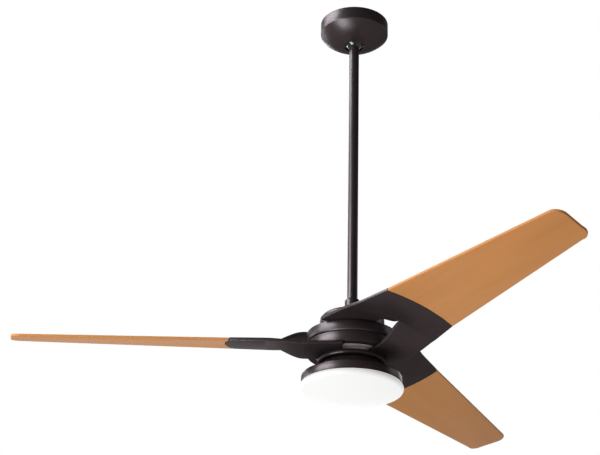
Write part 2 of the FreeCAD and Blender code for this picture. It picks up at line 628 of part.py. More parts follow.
# drum: two shells that meet at a step, with a seat for a bearing in each
SHAFT_ROOM = S.shaft_radius + S.shaft_room
SEAT_INNER = S.bearing_radius + S.fit
SEAT_OUTSIDE = SEAT_INNER + S.seat_ring
drum_upper = turned("drum_upper", [
    (SHAFT_ROOM, level(S.drum_top)), (SHAFT_ROOM, UPPER_SEAT), (SEAT_INNER, UPPER_SEAT),
    (SEAT_INNER, UPPER_SEAT - S.bearing_height), (SEAT_OUTSIDE, UPPER_SEAT - S.bearing_height),
    (SEAT_OUTSIDE, UPPER_SEAT), (DRUM_INNER, UPPER_SEAT), (DRUM_INNER, level(S.drum_split)),
    (S.drum_radius, level(S.drum_split)), (S.drum_radius, level(S.drum_top) - S.drum_round),
    (S.drum_radius - S.drum_round, level(S.drum_top), S.drum_round, 1)])
drum_lower = turned("drum_lower", [
    (SHAFT_ROOM, level(S.drum_bottom)), (LOWER_RADIUS - S.drum_lip, level(S.drum_bottom)),
    (LOWER_RADIUS - S.drum_lip, level(S.drum_bottom) + S.drum_lip_height),
    (LOWER_RADIUS, level(S.drum_bottom) + S.drum_lip_height),
    (LOWER_RADIUS, level(S.drum_split)), (DRUM_INNER - S.fit, level(S.drum_split)),
    (DRUM_INNER - S.fit, level(S.drum_split) + S.drum_wall), (LOWER_INNER, level(S.drum_split) + S.drum_wall),
    (LOWER_INNER, LOWER_SEAT), (SEAT_OUTSIDE, LOWER_SEAT), (SEAT_OUTSIDE, LOWER_SEAT + S.bearing_height),
    (SEAT_INNER, LOWER_SEAT + S.bearing_height), (SEAT_INNER, LOWER_SEAT), (SHAFT_ROOM, LOWER_SEAT)])
lower_holes = Outline(drum_lower, "lower_holes", "XY_Plane", offset=level(S.drum_bottom) - S.overrun)
hole_ring(lower_holes, BLADES, DRUM_BOLT_START, BOLT_RING, SCREW_HOLE)
hole_ring(lower_holes, BLADES, HUB_SCREW_START, S.hub_screw_ring, SCREW_HOLE)
pocket(drum_lower, "lower_holes_cut", lower_holes, S.drum_plate + S.overrun * 2.0, up=True)
head_room = Outline(drum_lower, "head_room", "XY_Plane", offset=level(S.drum_bottom) - S.overrun)
hole_ring(head_room, BLADES, DRUM_BOLT_START, BOLT_RING, S.screw_head_radius + S.fit)
pocket(drum_lower, "head_room_cut", head_room, S.screw_head + S.overrun, up=True)
doc.recompute()
BOLT_SEAT = level(S.drum_bottom) + S.screw_head
group("drum_bolts", screw_shape(UPPER_SEAT - BOLT_SEAT),
      around(BLADES, DRUM_BOLT_START, BOLT_RING, BOLT_SEAT, flip=True))

# lower hub: a neck under the drum with a flange that carries the arms' lower ends
FLANGE_BOTTOM = level(S.flange_top) - S.flange_thick
hub = turned("lower_hub", [
    (S.hub_tab_radius, level(S.drum_bottom)), (S.hub_tab_radius, level(S.drum_bottom) - S.hub_tab),
    (S.hub_bore, level(S.drum_bottom) - S.hub_tab), (S.hub_bore, FLANGE_BOTTOM),
    (S.flange_radius - S.flange_round, FLANGE_BOTTOM),
    (S.flange_radius, FLANGE_BOTTOM + S.flange_round, S.flange_round, 1),
    (S.flange_radius, level(S.flange_top)), (S.neck_radius, level(S.flange_top)),
    (S.neck_radius, level(S.drum_bottom))])
hub_holes = Outline(hub, "hub_holes", "XY_Plane", offset=level(S.drum_bottom) + S.overrun)
hole_ring(hub_holes, BLADES, HUB_SCREW_START, S.hub_screw_ring, SCREW_HOLE)
pocket(hub, "hub_holes_cut", hub_holes, S.hub_tab + S.overrun * 2.0)
flange_holes = Outline(hub, "flange_holes", "XY_Plane", offset=FLANGE_BOTTOM - S.overrun)
for angle in LOWER_SCREW_ANGLES:
    hole_ring(flange_holes, BLADES, FIRST_BLADE + angle, S.flange_screw_ring, SCREW_HOLE)
pocket(hub, "flange_holes_cut", flange_holes, S.flange_thick + S.overrun * 2.0, up=True)
flange_seats = Outline(hub, "flange_seats", "XY_Plane", offset=FLANGE_BOTTOM - S.overrun)
for angle in LOWER_SCREW_ANGLES:
    hole_ring(flange_seats, BLADES, FIRST_BLADE + angle, S.flange_screw_ring, S.screw_head_radius + S.fit)
pocket(hub, "flange_seats_cut", flange_seats, S.screw_head + S.overrun, up=True)
FLANGE_SEAT = FLANGE_BOTTOM + S.screw_head
doc.recompute()
group("lower_hub_screws", screw_shape(S.hub_tab + S.drum_plate),
      around(BLADES, HUB_SCREW_START, S.hub_screw_ring, level(S.drum_bottom) - S.hub_tab, flip=True))

# blades: flat boards with a curved root, a slanted tip and rounded tip corners
COS = cosine(S.blade_pitch)
SIN = sine(S.blade_pitch)
ROOT_SIDE = root(S.joint_radius * S.joint_radius - S.blade_root_half * S.blade_root_half)
LEAD_SIDE = -(S.blade_tip_half + S.blade_shift)
TRAIL_SIDE = S.blade_tip_half - S.blade_shift
BLADE_ANGLES = [FIRST_BLADE + FULL_TURN * k / BLADES for k in range(BLADES)]


def blade_place(angle):
    pitch = FreeCAD.Rotation(FreeCAD.Vector(1, 0, 0), -S.blade_pitch.value)
    turn = turn_about_axis(angle).multiply(pitch)
    return FreeCAD.Placement(FreeCAD.Vector(0, 0, -S.blade_drop.value), turn)


def arm_place(angle):
    return FreeCAD.Placement(FreeCAD.Vector(0, 0, -S.blade_drop.value), turn_about_axis(angle))


# the arm's tongue and its slit are placed from the joint, so they follow it
ARM_SPLIT = S.joint_radius - S.split_back
TONGUE_HEEL = S.joint_radius - S.tongue_lap
TONGUE_REACH = S.joint_radius + S.tongue_length
NEAR_SCREW = S.joint_radius + S.tongue_screw_room
FAR_SCREW = TONGUE_REACH - S.tongue_screw_edge
TONGUE_SCREWS = [(FAR_SCREW, ZERO), (NEAR_SCREW, S.tongue_screw_side), (NEAR_SCREW, -S.tongue_screw_side)]
LEAD_ROOT = -(S.blade_root_half + S.blade_shift)
TRAIL_ROOT = S.blade_root_half - S.blade_shift
for k, angle in enumerate(BLADE_ANGLES, start=1):
    blade = new_body("blade_%d" % k)
    tip_lead = S.blade_tip_reach + S.tip_slant
    tip_trail = S.blade_tip_reach - S.tip_slant
    edge = Outline(blade, "blade_%d_outline" % k, "XY_Plane")
    corner = S.tip_corner
    # the long edges taper, so a corner arc starts a little outside the tip's own width
    taper = (S.blade_root_half - S.blade_tip_half) / (S.blade_tip_reach - S.joint_radius)
    lead_out = LEAD_SIDE - taper * corner
    trail_out = TRAIL_SIDE + taper * corner
    slant = S.tip_slant / S.blade_tip_half
    edge.loop([
        (reach_on(S.joint_radius, LEAD_ROOT), LEAD_ROOT),
        (tip_lead - corner, lead_out),
        (tip_lead - slant * corner, LEAD_SIDE + corner, corner, 1),
        (tip_trail + slant * corner, TRAIL_SIDE - corner),
        (tip_trail - corner, trail_out, corner, 1),
        (reach_on(S.joint_radius, TRAIL_ROOT), TRAIL_ROOT),
        (reach_on(S.joint_radius, LEAD_ROOT), LEAD_ROOT, S.joint_radius, -1)][1:])
    pad(blade, "blade_%d_board" % k, edge, S.blade_thick)
    hole_floor = S.blade_thick - S.screw_bite * BOARD_BITE_SHARE
    screw_holes = Outline(blade, "blade_%d_holes" % k, "XY_Plane", offset=hole_floor)
    for reach, side in TONGUE_SCREWS:
        screw_holes.circle(reach, side, SCREW_HOLE)
    pocket(blade, "blade_%d_holes_cut" % k, screw_holes, S.blade_thick, up=True)
    blade.Placement = blade_place(angle)

# arms: a plate in the blades' slanted plane that splits into two leaves; the leading leaf twists up
# onto the drum, the trailing leaf twists down onto the flange
TWIST_SHARES = (0.0, 0.3, 0.62, 1.0)


def ease(share):
    """A share of the twist that starts and ends level."""
    return share * share * (3.0 - 2.0 * share)


def leaf_section(body, name, reach, inner, outer):
    """A cross section of a leaf: its two lower corners (side, height), square to its own slope."""
    run = outer[0] - inner[0]
    rise = outer[1] - inner[1]
    length = root(run * run + rise * rise)
    sign = 1.0 if run.value > 0 else -1.0
    shift_y = rise / length * S.arm_thick * -sign
    shift_z = run / length * S.arm_thick * sign
    outer_top = (outer[0] + shift_y, outer[1] + shift_z)
    inner_top = (inner[0] + shift_y, inner[1] + shift_z)
    return Outline(body, name, "YZ_Plane", offset=reach).loop([inner, outer, outer_top, inner_top])


def mix(first, last, share):
    return first + (last - first) * share


def leaf(body, name, side, end_reach, end_half, end_height, cut_radius):
    """One twisted leaf with its level root; side is -1 for the leading leaf, 1 for the trailing one."""
    sketches = []
    start_inner = (S.slit_half * COS * side, S.slit_half * SIN * -side)
    start_outer = (S.arm_root_half * COS * side, S.arm_root_half * SIN * -side)
    root_half = mix(S.arm_root_half * COS, end_half, LEAF_MIDDLE_SHARE)
    root_inner = (S.slit_half * side, end_height)
    root_outer = (root_half * side, end_height)
    for number_, share in enumerate(TWIST_SHARES):
        turn = ease(share)
        reach = mix(ARM_SPLIT, S.arm_root, share)
        inner = (mix(start_inner[0], root_inner[0], share), mix(start_inner[1], root_inner[1], turn))
        outer = (mix(start_outer[0], root_outer[0], share), mix(start_outer[1], root_outer[1], turn))
        section = leaf_section(body, "%s_section_%d" % (name, number_), reach, inner, outer)
        sketches.append(section.sketch)
    doc.recompute()
    loft = body.newObject("PartDesign::AdditiveLoft", name + "_twist")
    loft.Profile = sketches[0]
    loft.Sections = sketches[1:]
    loft.Ruled = False
    flat = Outline(body, name + "_flat_outline", "XY_Plane", offset=end_height)
    corners = [(S.arm_root, S.slit_half * side), (S.arm_root, root_half * side), (end_reach, end_half * side)]
    inner_side = reach_on(cut_radius, end_reach)
    corners += [(end_reach, inner_side * side),
                (reach_on(cut_radius, S.slit_half), S.slit_half * side, cut_radius, -side)]
    flat.loop(corners)
    pad(body, name + "_flat", flat, S.arm_thick)


JOINT_FACE = S.joint_radius - S.joint_gap
for k, angle in enumerate(BLADE_ANGLES, start=1):
    arm = new_body("blade_arm_%d" % k)
    web = Outline(arm, "arm_%d_outline" % k, "XY_Plane", tilt=S.blade_pitch)
    web.loop([
        (ARM_SPLIT, -S.arm_root_half), (reach_on(JOINT_FACE, LEAD_ROOT), LEAD_ROOT),
        (reach_on(JOINT_FACE, TRAIL_ROOT), TRAIL_ROOT, JOINT_FACE, 1),
        (ARM_SPLIT, S.arm_root_half)])
    pad(arm, "arm_%d_web" % k, web, S.arm_thick)
    tongue = Outline(arm, "arm_%d_tongue_outline" % k, "XY_Plane", tilt=S.blade_pitch)
    pitch = FreeCAD.Rotation(FreeCAD.Vector(1, 0, 0), -S.blade_pitch.value)
    lift = pitch.multVec(FreeCAD.Vector(0, 0, S.blade_thick.value))
    tongue.sketch.AttachmentOffset = FreeCAD.Placement(lift, pitch)
    nose_round = S.tongue_half * NOSE_SHARE
    nose_side = S.tongue_half - nose_round
    nose = TONGUE_REACH - nose_round
    tongue.loop([
        (TONGUE_HEEL, -S.tongue_half), (nose, -S.tongue_half),
        (TONGUE_REACH, -nose_side, nose_round, 1), (TONGUE_REACH, nose_side),
        (nose, S.tongue_half, nose_round, 1), (TONGUE_HEEL, S.tongue_half)])
    for reach, side in TONGUE_SCREWS:
        tongue.circle(reach, side, SCREW_HOLE)
    pad(arm, "arm_%d_tongue" % k, tongue, S.tongue_thick)
    leaf(arm, "arm_%d_upper" % k, -1.0, S.upper_end, S.upper_end_half, S.drum_top, S.upper_hole)
    leaf(arm, "arm_%d_lower" % k, 1.0, S.lower_end, S.lower_end_half, S.flange_top, S.neck_radius + S.fit)
    upper_holes = Outline(arm, "arm_%d_upper_holes" % k, "XY_Plane",
                          offset=S.drum_top + S.arm_thick + S.overrun)
    for turn in UPPER_SCREW_ANGLES:
        spot = Size(turn, repr(turn))
        upper_holes.circle(S.arm_screw_ring * cosine(spot), S.arm_screw_ring * sine(spot), SCREW_HOLE)
    pocket(arm, "arm_%d_upper_holes_cut" % k, upper_holes, S.arm_thick + S.overrun * 2.0)
    lower_holes_arm = Outline(arm, "arm_%d_lower_holes" % k, "XY_Plane", offset=S.flange_top - S.overrun)
    for turn in LOWER_SCREW_ANGLES:
        spot = Size(turn, repr(turn))
        lower_holes_arm.circle(S.flange_screw_ring * cosine(spot), S.flange_screw_ring * sine(spot),
                               SCREW_HOLE)
    pocket(arm, "arm_%d_lower_holes_cut" % k, lower_holes_arm, S.screw_bite + S.overrun, up=True)
    arm.Placement = arm_place(angle)
doc.recompute()

# screws of the arms: on top into the drum, from below through the flange, and into each board
top_holes = Outline(drum_upper, "top_holes", "XY_Plane", offset=level(S.drum_top) + S.overrun)
upper_places = []
lower_places = []
for turn in UPPER_SCREW_ANGLES:
    hole_ring(top_holes, BLADES, FIRST_BLADE + turn, S.arm_screw_ring, SCREW_HOLE)
    upper_places += around(BLADES, FIRST_BLADE + turn, S.arm_screw_ring,
                           level(S.drum_top) + S.arm_thick)
for turn in LOWER_SCREW_ANGLES:
    lower_places += around(BLADES, FIRST_BLADE + turn, S.flange_screw_ring, FLANGE_SEAT, flip=True)
pocket(drum_upper, "top_holes_cut", top_holes, S.screw_bite + S.overrun)
doc.recompute()
group("arm_screws_upper", screw_shape(S.arm_thick + S.screw_bite), upper_places)
group("arm_screws_lower", screw_shape(S.flange_thick - S.screw_head + S.screw_bite), lower_places)
blade_places = []
for angle in BLADE_ANGLES:
    for reach, side in TONGUE_SCREWS:
        spot = FreeCAD.Vector(reach.value, side.value, (S.blade_thick + S.tongue_thick).value)
        seat = FreeCAD.Placement(spot, FreeCAD.Rotation())
        blade_places.append(blade_place(angle).multiply(seat))
group("blade_screws", screw_shape(S.tongue_thick + S.screw_bite), blade_places)

# light pan: a spun dish on the end of the shaft
PAN_INNER = S.pan_radius - S.pan_wall
PAN_SHAFT = S.shaft_radius + S.fit
pan = turned("light_pan", [
    (PAN_SHAFT, level(S.pan_deck)), (PAN_SHAFT, level(S.pan_deck) - S.pan_wall),
    (S.pan_deck_radius, level(S.pan_deck) - S.pan_wall),
    (PAN_INNER, level(S.pan_band), S.pan_round - S.pan_wall, -1), (PAN_INNER, level(S.pan_rim)),
    (S.pan_radius, level(S.pan_rim)), (S.pan_radius, level(S.pan_band)),
    (S.pan_deck_radius, level(S.pan_deck), S.pan_round, 1)])

# three posts under the pan's deck carry the light board
LED_TOP = level(S.led_level)
POST_RING = S.pan_deck_radius - S.post_radius * 2.0
POST_TOP = level(S.pan_deck) - S.pan_wall * POST_SINK_SHARE
posts_outline = Outline(pan, "posts_outline", "XY_Plane", offset=LED_TOP)
hole_ring(posts_outline, BLADES, POST_START, POST_RING, S.post_radius)
pad(pan, "posts", posts_outline, POST_TOP - LED_TOP)
post_holes = Outline(pan, "post_holes", "XY_Plane", offset=LED_TOP - S.overrun)
hole_ring(post_holes, BLADES, POST_START, POST_RING, SCREW_HOLE)
pocket(pan, "post_holes_cut", post_holes, S.screw_bite + S.overrun, up=True)

# lock nut under the pan's deck
NUT_TOP = level(S.pan_deck) - S.pan_wall
nut = new_body("pan_nut")
nut_outline = Outline(nut, "nut_outline", "XY_Plane", offset=NUT_TOP)
nut_corners = []
for k in range(NUT_SIDES):
    turn = FULL_TURN * k / NUT_SIDES
    spot = Size(turn, repr(turn))
    nut_corners.append((S.pan_nut_radius * cosine(spot), S.pan_nut_radius * sine(spot)))
nut_outline.loop(nut_corners)
nut_outline.circle(ZERO, ZERO, S.shaft_radius + S.fit)
pad(nut, "nut_pad", nut_outline, S.pan_nut_height, down=True)

# light board on the three posts, with the driver on top of it
board = new_body("led_board")
board_outline = Outline(board, "board_outline", "XY_Plane", offset=LED_TOP).circle(ZERO, ZERO, S.led_radius)
hole_ring(board_outline, BLADES, POST_START, POST_RING, SCREW_HOLE)
pad(board, "board_pad", board_outline, S.led_thick, down=True)
driver = new_body("led_driver")
driver_outline = Outline(driver, "driver_outline", "XY_Plane", offset=LED_TOP)
driver_outline.box(-S.driver_length / 2.0, S.driver_length / 2.0, -S.driver_width / 2.0, S.driver_width / 2.0)
pad(driver, "driver_pad", driver_outline, level(S.shaft_foot) - LED_TOP)
doc.recompute()
group("led_screws", screw_shape(S.led_thick + S.screw_bite),
      around(BLADES, POST_START, POST_RING, LED_TOP - S.led_thick, flip=True))

# leads run down beside the cross pins, through the rod and the shaft, to the driver
leads = new_body("supply_leads")
LEAD_SIDE_ROOM = S.pin_radius + S.fit * 2.0 + S.lead_radius
leads_outline = Outline(leads, "leads_outline", "XY_Plane", offset=level(S.shaft_foot))
leads_outline.circle(LEAD_SIDE_ROOM, ZERO, S.lead_radius)
pad(leads, "leads_pad", leads_outline, ROD_TOP + S.lead_head - level(S.shaft_foot))

# opal glass: a blown dish whose neck sits inside the pan's rim
GLASS_TOP = level(S.pan_rim)
NECK_OUTER = PAN_INNER - S.fit
NECK_INNER = NECK_OUTER - S.glass_neck
EDGE_MIDDLE = S.glass_radius - S.glass_edge
INNER_EDGE = S.glass_edge - S.glass_wall
EDGE_COS = cosine(S.glass_edge_turn)
EDGE_SIN = sine(S.glass_edge_turn)
DISH_ROUND = S.glass_radius * DISH_BOTTOM_SHARE
turned("opal_glass", [
    (NECK_INNER, GLASS_TOP + S.glass_seat), (NECK_INNER, GLASS_TOP - S.glass_wall),
    (S.glass_radius - S.glass_wall, level(S.glass_belly)),
    (EDGE_MIDDLE + INNER_EDGE * EDGE_COS, level(S.glass_belly) - INNER_EDGE * EDGE_SIN, INNER_EDGE, -1),
    (ZERO, level(S.glass_depth) + S.glass_wall, DISH_ROUND - S.glass_wall, -1),
    (ZERO, level(S.glass_depth)),
    (EDGE_MIDDLE + S.glass_edge * EDGE_COS, level(S.glass_belly) - S.glass_edge * EDGE_SIN, DISH_ROUND, 1),
    (S.glass_radius, level(S.glass_belly), S.glass_edge, 1),
    (S.pan_radius, GLASS_TOP, S.glass_radius * DISH_NECK_SHARE, 1),
    (NECK_OUTER, GLASS_TOP), (NECK_OUTER, GLASS_TOP + S.glass_seat)])

doc.recompute()

# every piece has to be whole before anything is written
os.makedirs("parts", exist_ok=True)
failed = [item.Label for item in doc.Objects if "Invalid" in item.State or "Error" in item.State]
pieces = [item for item in doc.Objects
          if item.TypeId == "PartDesign::Body" or item.TypeId == "Part::Feature"]
for piece in pieces:
    if piece.Shape.isNull() or not piece.Shape.isValid() or not piece.Shape.Solids:
        failed.append(piece.Label)
if failed:
    raise RuntimeError("failed pieces: " + ", ".join(sorted(set(failed))))
for piece in pieces:
    piece.Shape.exportStep(os.path.join("parts", piece.Label + ".step"))
print(len(pieces), "pieces")
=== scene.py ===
import json
import math

import bpy
from mathutils import Matrix, Vector

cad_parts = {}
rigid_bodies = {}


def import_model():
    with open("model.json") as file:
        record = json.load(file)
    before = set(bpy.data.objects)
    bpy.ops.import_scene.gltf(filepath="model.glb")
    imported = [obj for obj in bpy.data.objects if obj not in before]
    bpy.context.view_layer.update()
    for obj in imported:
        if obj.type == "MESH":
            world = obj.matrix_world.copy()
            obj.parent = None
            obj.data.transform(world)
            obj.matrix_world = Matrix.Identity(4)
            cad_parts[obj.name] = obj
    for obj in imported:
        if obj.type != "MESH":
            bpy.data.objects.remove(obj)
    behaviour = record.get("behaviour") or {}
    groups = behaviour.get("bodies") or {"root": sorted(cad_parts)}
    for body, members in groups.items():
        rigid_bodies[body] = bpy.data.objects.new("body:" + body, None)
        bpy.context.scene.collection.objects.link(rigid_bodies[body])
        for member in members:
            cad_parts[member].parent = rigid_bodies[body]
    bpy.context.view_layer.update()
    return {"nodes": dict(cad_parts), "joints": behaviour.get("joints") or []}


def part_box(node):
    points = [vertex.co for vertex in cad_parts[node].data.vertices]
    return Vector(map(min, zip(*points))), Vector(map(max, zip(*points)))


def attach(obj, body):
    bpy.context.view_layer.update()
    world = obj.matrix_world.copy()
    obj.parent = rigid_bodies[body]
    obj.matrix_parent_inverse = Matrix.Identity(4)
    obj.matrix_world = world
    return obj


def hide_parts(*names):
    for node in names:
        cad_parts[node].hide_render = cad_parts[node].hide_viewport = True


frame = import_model()

bl_info = {
    "name": "Ceiling fan finishes",
    "version": (1, 0, 0),
    "blender": (4, 5, 0),
    "location": "View3D > Sidebar > Fan",
    "description": "Dresses a three-blade ceiling fan and its dish light",
    "category": "Object",
}

NODES = frame["nodes"]
# the hinge of the rotor lies in the blades' plane
BLADE_LEVEL = next(j["pos_m"][2] for j in frame["joints"] if j["name"] == "rotor_spin")
BLADE_NAMES = ("blade_1", "blade_2", "blade_3")
ARM_NAMES = ("blade_arm_1", "blade_arm_2", "blade_arm_3")
# where the first board points, the turn from one to the next, and how far each is pitched
FIRST_BLADE = math.radians(60)
BLADE_STEP = math.radians(120)
BLADE_PITCH = math.radians(15)
# painted shade: how much of the wood's red, green and blue each board keeps, so that the first board, the far
# one, comes out darker as if less light fell on it
BOARD_PAINTED_SHADE = ((0.89, 0.91, 0.96), (1.0, 1.0, 1.0), (1.01, 1.01, 1.02))
# the groove under the drum, where light is painted in, from the blades' plane: its bottom, its top and how
# far out it reaches
GROOVE = (-0.0252, -0.0165, 0.0700)
# the light's pan, turned from its deck's edge to its rim and back up inside, as radius and height
# from the blades' plane
PAN_DECK_RADIUS = 0.0580
PAN_NECK = ((0.0592, -0.0369), (0.0599, -0.0380), (0.0603, -0.0460), (0.0613, -0.0482))
PAN_TOP = ((0.0636, -0.0494), (0.0926, -0.0582), (0.0947, -0.0594))
PAN_WALL = ((0.0955, -0.0615), (0.0955, -0.0755), (0.0937, -0.0755), (0.0937, -0.0620))
PAN_INSIDE = ((0.0922, -0.0602), (0.0628, -0.0512), (0.0592, -0.0490), (0.0583, -0.0462), (0.0580, -0.0383))
PAN_TURN = PAN_NECK + PAN_TOP + PAN_WALL + PAN_INSIDE
# no two screws come to rest with their crosses alike
SCREW_TURN = math.radians(37)
SCREW_SIDES = 32
# how much of a recess's length and width is left at its bottom
RECESS_TAPER = (0.55, 0.6)
# a screw's brim nearly has its full girth, and its shank is measured within this share of the head's height
# from its foot
BRIM_SHARE = 0.98
SHANK_SHARE = 0.25
# steps in a rounded edge and in the crown of a screw's head
EDGE_STEPS = 3
CROWN_STEPS = 4
# edges sharper than this are rounded, and faces that meet more flatly than the other angle are shaded smooth
SHARP_ANGLE = math.radians(35)
SMOOTH_ANGLE = math.radians(40)
# triangles that lie this flat to each other become one face
FLAT_ANGLE = math.radians(0.2)
# corners this near are one, on a copy of a CAD node and on the pan after it is turned
WELD = 1e-6
PAN_WELD = 1e-5
# how far a corner may lie off its ring, and how squarely a face has to look up or down
RING_SLACK = 0.0002
FACING = 0.9
# the bronze's slow clouds and fine grit: the scales of their noise, and the grit's depth and strength
CLOUD_SCALE = 9.0
GRIT_SCALE = 2600.0
GRIT_DEPTH = 0.00004
GRIT_STRENGTH = 0.3
BRONZE_METALLIC = 0.4
BRONZE_ROUGHNESS = 0.28
# the painted light in the groove is less metallic and rougher than the paint
GROOVE_LIGHT_METALLIC_DROP = 0.3
GROOVE_LIGHT_ROUGHNESS_RISE = 0.2
# the wood's noises are drawn out along the board: its broad figure, its streaks and its pores
FIGURE_STRETCH = (2.2, 26.0, 26.0)
STREAK_STRETCH = (9.0, 420.0, 420.0)
PORE_STRETCH = (38.0, 1500.0, 1500.0)


def tone(red, green, blue):
    """A colour given as it looks on a screen, 0 to 255, turned to linear light."""
    def linear(value):
        share = value / 255
        return share / 12.92 if share <= 0.04045 else ((share + 0.055) / 1.055) ** 2.4
    return (linear(red), linear(green), linear(blue), 1.0)


def length(name, description, default):
    return bpy.props.FloatProperty(name=name, description=description, default=default, min=0.0,
                                   precision=5, unit="LENGTH")


def colour(name, description, default):
    return bpy.props.FloatVectorProperty(name=name, description=description, default=default, size=4,
                                         min=0.0, max=1.0, subtype="COLOR")


class FanSizes(bpy.types.PropertyGroup):
    """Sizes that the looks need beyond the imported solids."""

    metal_edge: length("Metal edge", "Rounding of the painted metal's edges", 0.0006)
    arm_edge: length("Arm edge", "Rounding of the blade arms' edges", 0.0010)
    drum_edge: length("Drum edge", "Rounding of the upper shell at the drum's seam", 0.0034)
    seam_edge: length("Seam edge", "Rounding of the lower shell at the drum's seam", 0.0018)
    board_edge: length("Board edge", "Rounding of the wooden boards' edges", 0.0012)
    head_round: length("Screw crown", "Rounding of a screw head's rim", 0.0011)
    recess_span: length("Recess span", "Length of the cross in a screw's head", 0.0044)
    recess_width: length("Recess width", "Width of the cross in a screw's head", 0.0010)
    recess_depth: length("Recess depth", "Depth of the cross in a screw's head", 0.0013)


class FanColours(bpy.types.PropertyGroup):
    """Finishes that a user would change."""

    bronze: colour("Bronze paint", "Dark bronze of the metal shells", tone(66, 57, 58))
    bronze_deep: colour("Bronze shade", "Darker patches of the bronze", tone(59, 51, 52))
    # painted light: a near-white colour that lights up the groove under the drum, which lies in deep shade
    groove_painted_light: colour("Casting", "Bare cast metal of the groove under the drum", tone(236, 224, 220))
    wood: colour("Board", "Lacquered wood of the blades", tone(214, 148, 85))
    wood_grain: colour("Grain", "Darker streaks of the wood", tone(192, 124, 65))
    opal: colour("Opal glass", "White glass of the light", tone(226, 226, 225))
    ball: colour("Ball", "Glossy black hanger ball", tone(18, 17, 18))
    liner: colour("Liner", "Nylon ring in the ball's seat", tone(226, 222, 210))
    zinc: colour("Zinc", "Plated steel of the hidden metalwork", tone(172, 174, 176))
    screw: colour("Screw", "Blackened screws", tone(46, 40, 40))
    copper: colour("Copper", "Lacquered copper of the windings", tone(176, 96, 52))
    sheath: colour("Lead", "Sheath of the supply leads", tone(40, 40, 42))
    board: colour("Light board", "White solder mask", tone(236, 238, 236))
    driver: colour("Driver case", "Moulded case of the driver", tone(222, 222, 220))


class Field:
    """A value that changes over a surface; sums and products of fields add Math nodes."""

    def __init__(self, wiring, socket):
        self.wiring = wiring
        self.socket = socket

    def sum_up(self, operation, first, second):
        node = self.wiring.node("ShaderNodeMath", {"operation": operation}, {0: first, 1: second})
        return Field(self.wiring, node.outputs[0])

    def __add__(self, other):
        return self.sum_up("ADD", self, other)

    __radd__ = __add__

    def __mul__(self, other):
        return self.sum_up("MULTIPLY", self, other)

    __rmul__ = __mul__

    def __sub__(self, other):
        return self.sum_up("SUBTRACT", self, other)

    def __rsub__(self, other):
        return self.sum_up("SUBTRACT", other, self)

    def __lt__(self, other):
        return self.sum_up("LESS_THAN", self, other)

    def __gt__(self, other):
        return self.sum_up("GREATER_THAN", self, other)

    def __or__(self, other):
        """The larger of two values."""
        return self.sum_up("MAXIMUM", self, other)


class Wiring:
    """The nodes of a material or of the world, under construction."""

    def __init__(self, owner):
        owner.use_nodes = True
        self.owner = owner
        self.tree = owner.node_tree
        self.tree.nodes.clear()

    def node(self, kind, settings=None, sockets=None):
        """A node of a type, with its settings, then the values or links of its sockets."""
        made = self.tree.nodes.new(kind)
        for key, value in (settings or {}).items():
            if key == "stops":
                ramp = made.color_ramp.elements
                while len(ramp) < len(value):
                    ramp.new(1.0)
                for stop, (place, shade) in zip(ramp, value):
                    stop.position = place
                    stop.color = shade
            else:
                setattr(made, key, value)
        for key, value in (sockets or {}).items():
            if isinstance(value, Field):
                self.tree.links.new(value.socket, made.inputs[key])
            else:
                made.inputs[key].default_value = value
        return made

    def field(self, kind, output, settings=None, sockets=None):
        return Field(self, self.node(kind, settings, sockets).outputs[output])


class Finish(Wiring):
    """A material under construction."""

    def __init__(self, name):
        super().__init__(bpy.data.materials.new(name))

    def place(self, location=(0, 0, 0), rotation=(0, 0, 0)):
        """Coordinates in the frame of a piece that stands at a place and is turned."""
        spot = self.field("ShaderNodeTexCoord", "Object")
        return self.field("ShaderNodeMapping", "Vector", {"vector_type": "TEXTURE"},
                          {"Vector": spot, "Location": location, "Rotation": rotation})

    def stretch(self, spot, scale):
        return self.field("ShaderNodeVectorMath", "Vector", {"operation": "MULTIPLY"}, {0: spot, 1: scale})

    def noise(self, spot, scale, detail=2.0):
        return self.field("ShaderNodeTexNoise", "Fac", None,
                          {"Vector": spot, "Scale": scale, "Detail": detail})

    def between(self, share, first, last):
        """A colour between two, by a share from 0 to 1."""
        return self.field("ShaderNodeMix", 2, {"data_type": "RGBA"}, {0: share, 6: first, 7: last})

    def ramp(self, value, low, high):
        """A share that rises from 0 to 1 while a value goes from low to high."""
        stops = [(low, (0, 0, 0, 1)), (high, (1, 1, 1, 1))]
        return self.field("ShaderNodeValToRGB", "Color", {"stops": stops}, {"Fac": value})

    def bump(self, height, distance, strength=1.0):
        return self.field("ShaderNodeBump", "Normal", None,
                          {"Height": height, "Distance": distance, "Strength": strength})

    def close(self, sockets):
        """Finish the material with one shader."""
        shader = self.field("ShaderNodeBsdfPrincipled", "BSDF", None, sockets)
        self.node("ShaderNodeOutputMaterial", None, {"Surface": shader})
        return self.owner


def made_once(name, build):
    """The material of that name, built when it is first asked for."""
    found = bpy.data.materials.get(name)
    return found or build(Finish(name))


def palette():
    return bpy.context.scene.fan_colours


def bronze_coat(finish, spot):
    """The sockets of a clouded satin bronze with a fine grit."""
    cloud = finish.noise(spot, CLOUD_SCALE)
    grit = finish.noise(spot, GRIT_SCALE)
    return {"Base Color": finish.between(cloud, palette().bronze_deep, palette().bronze),
            "Metallic": BRONZE_METALLIC, "Roughness": cloud * 0.06 + BRONZE_ROUGHNESS,
            "Specular IOR Level": 0.0, "Specular Tint": (0.45, 0.45, 0.45, 1.0),
            "Normal": finish.bump(grit, GRIT_DEPTH, GRIT_STRENGTH)}


def bronze_paint():
    """Bronze paint all over."""
    def build(finish):
        return finish.close(bronze_coat(finish, finish.place()))
    return made_once("bronze_satin_paint", build)


